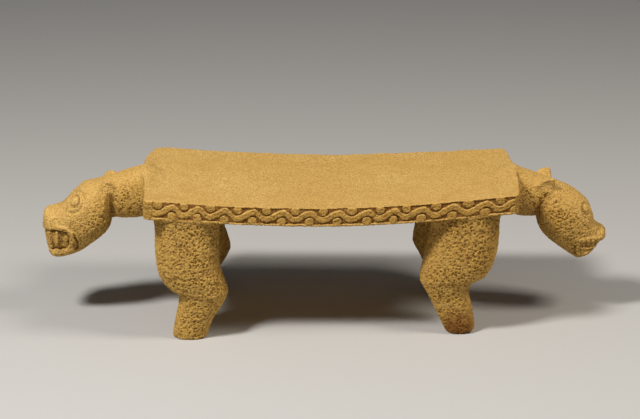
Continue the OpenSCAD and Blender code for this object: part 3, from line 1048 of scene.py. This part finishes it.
def keep(name, mesh, *nodes, whole=False):
    """Makes a visible piece in the place of CAD nodes. A whole piece keeps all its separate shells."""
    obj = make_object(name, mesh, whole)
    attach(obj, "root")
    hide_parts(*nodes)
    stone_pieces.append(obj)


def joined(meshes):
    """One mesh of several separate ones."""
    points, looks, tris, seams = (list(part) for part in zip(*meshes))
    start = 0
    for n in range(len(points)):
        tris[n] = tris[n] + start
        seams[n] = seams[n] + start
        start += len(points[n])
    return tuple(np.concatenate(part) for part in (points, looks, tris, seams))


def mirrored(sign, near, far):
    """Low and high end of a span that is given for the positive side."""
    return sorted((sign * near, sign * far))


# The boxes that the pieces are meshed in
WIDEST = MEAN_HALF_W + TAPER + SIDE_BOW + 2
FULL_WIDTH = (-WIDEST, WIDEST)
SLAB_BOX_X = (-212, 212)
SLAB_BOX_Z = (120, 168)
BAND_BOX_X = (-SLAB_HALF, SLAB_HALF)
BAND_BOX_Y = 84
BAND_BOX_Z = (122, 162)
RIM_BOX_X = (180, 216)
RIM_BOX_Z = (118, 170)
ANIMAL_BOX_X = (154, 316)
ANIMAL_BOX_Y = (-44, 44)
ANIMAL_BOX_Z = (54, 170)
LEG_BOX_HALF_Y = 37
LEG_BOX_Z = (-3, 140)
LEG_BOX_MARGIN = 6

# Slab and carved bands
everything = ("slab", "left", "right", "front_left", "back_left", "front_right", "back_right")
mesh = sculpt(everything, SLAB_BOX_X, FULL_WIDTH, SLAB_BOX_Z, PITCH_SLAB)
mesh = cut_all(mesh, (past_neck_root, yz), (past_rim, yz), (below_slab, xy), (in_band, xz))
keep("platform", mesh, "slab")

for name, sign in ROWS:
    parts = ("slab", name + "_left", name + "_right")
    mesh = sculpt(parts, BAND_BOX_X, mirrored(sign, BAND_BOX_Y, WIDEST), BAND_BOX_Z, PITCH_BAND)
    mesh = cut_all(mesh, (past_rim, yz), (below_slab, xy), (flip(in_band), xz))
    keep(name + "_carved_band", mesh, name + "_frieze")

for side, stations in (("left", LEFT_ANIMAL), ("right", RIGHT_ANIMAL)):
    sign = -1 if side == "left" else 1
    joint = section_line(stations, NECK_END_STATION)
    jaws = JAWS[side]
    ear_x = np.mean(ANIMALS[side]["ear"], axis=0)[0]

    # Rim, cut from slab and neck
    mesh = sculpt(("slab", side), mirrored(sign, *RIM_BOX_X), FULL_WIDTH, RIM_BOX_Z)
    mesh = cut_all(mesh, (past_neck_root, yz), (flip(past_rim), yz), (below_slab, xy))
    keep(side + "_raised_rim", mesh, side + "_end_rim")

    # Neck, head, jaw, teeth, eyes and ears share one mesh
    whole = sculpt(("slab", side), mirrored(sign, *ANIMAL_BOX_X), ANIMAL_BOX_Y, ANIMAL_BOX_Z)
    neck = cut_all(whole, (flip(past_neck_root), yz), (joint, yz))
    head = cut(whole, flip(joint), yz)
    ears = {}
    eyes = []
    eye_x, eye_y, eye_z = jaws["eye"]
    for where, y_sign in ROWS:
        ear_ball = ball((ear_x, y_sign * (EAR_Y + 1), EAR_BASE_Z + 4), EAR_CUT)
        eye_ball = ball((eye_x, y_sign * eye_y, eye_z), jaws["eye_cut"])
        ears[where] = joined([cut(head, ear_ball, slanting), cut(neck, ear_ball, slanting)])
        eyes.append(cut(head, eye_ball, xz))
        head = cut_all(head, (flip(ear_ball), slanting), (flip(eye_ball), xz))
        neck = cut(neck, flip(ear_ball), slanting)
    upper = over_line(jaws["cheek"] + jaws["over_teeth"])
    lower = over_line(jaws["cheek"] + jaws["under_teeth"])
    keep(side + "_skull", cut(head, flip(upper), xy), side + "_head")
    keep(side + "_chin", cut(head, lower, xy), side + "_lower_jaw")
    mouth_corner = jaws["cheek"][-1][0]
    teeth = cut_all(head, (behind(mouth_corner + TEETH_INSET), yz), (flip(lower), xy), (upper, xy))
    keep(side + "_teeth", teeth, side + "_fangs")
    keep(side + "_throat", neck, side + "_neck")

    for where, ear in ears.items():
        keep(f"{side}_{where}_ear_lobe", ear, f"{side}_{where}_ear", whole=True)
    keep(side + "_eye_bosses", joined(eyes), side + "_eyes", whole=True)

for end, (stations, hock, leg_y) in LEGS.items():
    sign = -1 if end == "left" else 1
    xs = [s[n] for s in stations for n in (0, 2)]
    span_x = mirrored(sign, min(xs) - LEG_BOX_MARGIN, max(xs) + LEG_BOX_MARGIN)
    for row, y_sign in ROWS:
        name = f"{row}_{end}"
        span_y = mirrored(y_sign, leg_y - LEG_BOX_HALF_Y, leg_y + LEG_BOX_HALF_Y)
        mesh = cut(sculpt(("slab", name), span_x, span_y, LEG_BOX_Z), flip(below_slab), xy)
        upper = cut(mesh, lambda x, y, z: hock - z, xy)
        lower = cut(mesh, lambda x, y, z: z - hock, xy)
        keep(name + "_thigh", upper, name + "_haunch")
        keep(name + "_foot", lower, name + "_shank")


# ---- stone

PALE = (0.625, 0.395, 0.118, 1)
PALEST = (0.695, 0.468, 0.16, 1)
PATCH = (0.555, 0.338, 0.092, 1)
# Pecked stone, lighter and yellower at the left end and darker and more orange at the right end: painted
# light for the weaker, warmer light on the right
PECKED_LEFT_LIT = (0.635, 0.40, 0.089, 1)
PECKED_RIGHT_SHADED = (0.585, 0.35, 0.07, 1)
SPECK = (0.46, 0.265, 0.066, 1)
# Deep brown of painted shade and of the toe stain
SHADE_AND_STAIN_BROWN = (0.235, 0.098, 0.019, 1)


def new_material(name):
    material = bpy.data.materials.new(name)
    material.use_nodes = True
    return material, material.node_tree.nodes, material.node_tree.links


def stone_material():
    """Pale tan porous volcanic stone: mottled and gritty, with painted shade in its pits, creases, folds and
    grooves, a stain on one toe, and pecked areas painted darker and warmer towards the right end as painted
    light.
    """
    material, nodes, links = new_material("pecked_stone")
    shader = nodes["Principled BSDF"]
    place = nodes.new("ShaderNodeTexCoord").outputs["Object"]

    def noise(scale, detail, rough=0.55):
        node = nodes.new("ShaderNodeTexNoise")
        node.inputs["Scale"].default_value = scale
        node.inputs["Detail"].default_value = detail
        node.inputs["Roughness"].default_value = rough
        links.new(place, node.inputs["Vector"])
        return node.outputs["Fac"]

    def spread(value, low, high, to_low=0.0, to_high=1.0):
        node = nodes.new("ShaderNodeMapRange")
        node.inputs["From Min"].default_value = low
        node.inputs["From Max"].default_value = high
        node.inputs["To Min"].default_value = to_low
        node.inputs["To Max"].default_value = to_high
        links.new(value, node.inputs["Value"])
        return node.outputs["Result"]

    def mix(factor, a, b):
        node = nodes.new("ShaderNodeMix")
        node.data_type = "RGBA"
        for socket, value in (("Factor", factor), ("A", a), ("B", b)):
            if isinstance(value, tuple):
                node.inputs[socket].default_value = value
            else:
                links.new(value, node.inputs[socket])
        return node.outputs["Result"]

    def attribute(name):
        node = nodes.new("ShaderNodeAttribute")
        node.attribute_name = name
        return node.outputs["Fac"]

    pecked = spread(attribute("pecked"), 0.15, 0.95)
    color = mix(spread(noise(9, 5), 0.35, 0.65), PALE, PALEST)
    color = mix(spread(noise(55, 4), 0.50, 0.75), color, PATCH)
    # Painted light: pecked areas shift along x from the lit left colour to the shaded right colour.
    side = nodes.new("ShaderNodeSeparateXYZ")
    links.new(place, side.inputs["Vector"])
    pecked_color_with_painted_light = mix(spread(side.outputs["X"], -0.12, 0.12), PECKED_LEFT_LIT, PECKED_RIGHT_SHADED)
    color = mix(pecked, color, pecked_color_with_painted_light)
    speckle = spread(noise(480, 2, 0.7), 0.36, 0.60)
    color = mix(speckle, SPECK, color)
    # Painted shade in pits, creases, folds, mouths and grooves, and the toe stain, pull the colour towards
    # deep brown.
    shade = spread(attribute("hollow"), 0.05, 1.1)
    color = mix(shade, color, SHADE_AND_STAIN_BROWN)
    links.new(color, shader.inputs["Base Color"])

    pores = nodes.new("ShaderNodeTexVoronoi")
    pores.inputs["Scale"].default_value = 430
    links.new(place, pores.inputs["Vector"])
    grain = nodes.new("ShaderNodeMath")
    grain.operation = "MULTIPLY_ADD"
    links.new(spread(pores.outputs["Distance"], 0.0, 0.45), grain.inputs[0])
    grain.inputs[1].default_value = 0.7
    links.new(noise(650, 3, 0.6), grain.inputs[2])
    bump = nodes.new("ShaderNodeBump")
    bump.inputs["Strength"].default_value = 0.9
    links.new(grain.outputs["Value"], bump.inputs["Height"])
    links.new(spread(pecked, 0, 1, 0.0011, 0.0014), bump.inputs["Distance"])
    links.new(bump.outputs["Normal"], shader.inputs["Normal"])
    links.new(spread(noise(300, 2), 0.3, 0.7, 0.82, 0.96), shader.inputs["Roughness"])
    shader.inputs["Specular IOR Level"].default_value = 0.25
    return material


stone = stone_material()
for obj in stone_pieces:
    obj.data.materials.append(stone)

# ---- floor, light and camera


def floor_material():
    material, nodes, links = new_material("pale_floor")
    shader = nodes["Principled BSDF"]
    noise = nodes.new("ShaderNodeTexNoise")
    noise.inputs["Scale"].default_value = 3
    tint = nodes.new("ShaderNodeMapRange")
    tint.inputs["To Min"].default_value = 0.50
    tint.inputs["To Max"].default_value = 0.53
    links.new(noise.outputs["Fac"], tint.inputs["Value"])
    links.new(tint.outputs["Result"], shader.inputs["Base Color"])
    shader.inputs["Roughness"].default_value = 0.9
    return material


FLOOR_HALF = 6.0
floor_data = bpy.data.meshes.new("floor")
floor_data.from_pydata(
    [(-FLOOR_HALF, -FLOOR_HALF, 0), (FLOOR_HALF, -FLOOR_HALF, 0),
     (FLOOR_HALF, FLOOR_HALF, 0), (-FLOOR_HALF, FLOOR_HALF, 0)], [], [(0, 1, 2, 3)])
floor_data.materials.append(floor_material())
floor = add_object("floor", floor_data)


def area_light(name, place, target, power, size, color):
    data = bpy.data.lights.new(name, "AREA")
    data.shape = "SQUARE"
    data.size = size
    data.energy = power
    data.color = color
    light = add_object(name, data)
    light.location = place
    light.rotation_euler = (Vector(target) - Vector(place)).to_track_quat("-Z", "Y").to_euler()


OBJECT_MIDDLE = (0.0, 0.0, 0.09)
area_light("key", (-1.04, -1.00, 1.87), OBJECT_MIDDLE, power=51, size=0.40, color=(1.0, 0.96, 0.90))
area_light("side", (1.35, -0.60, 1.70), OBJECT_MIDDLE, power=24, size=0.60, color=(1.0, 0.92, 0.80))

world = bpy.data.worlds.new("studio")
world.use_nodes = True
background = world.node_tree.nodes["Background"]
background.inputs["Color"].default_value = (0.95, 0.97, 1.0, 1)
background.inputs["Strength"].default_value = 0.07
bpy.context.scene.world = world
bpy.context.scene.view_settings.view_transform = "Standard"

CAMERA_AZIMUTH = math.radians(1.0)
CAMERA_ELEVATION = math.radians(16.5)
CAMERA_DISTANCE = 2.6
LOOK_AT = Vector((-0.006, 0.0, 0.1143))
camera_data = bpy.data.cameras.new("camera")
camera_data.sensor_width = 36.0
camera_data.lens = 135.4
forward = Vector((math.sin(CAMERA_AZIMUTH) * math.cos(CAMERA_ELEVATION),
                  math.cos(CAMERA_AZIMUTH) * math.cos(CAMERA_ELEVATION),
                  -math.sin(CAMERA_ELEVATION)))
camera = add_object("camera", camera_data)
camera.location = LOOK_AT - forward * CAMERA_DISTANCE
camera.rotation_euler = forward.to_track_quat("-Z", "Y").to_euler()
bpy.context.scene.camera = camera
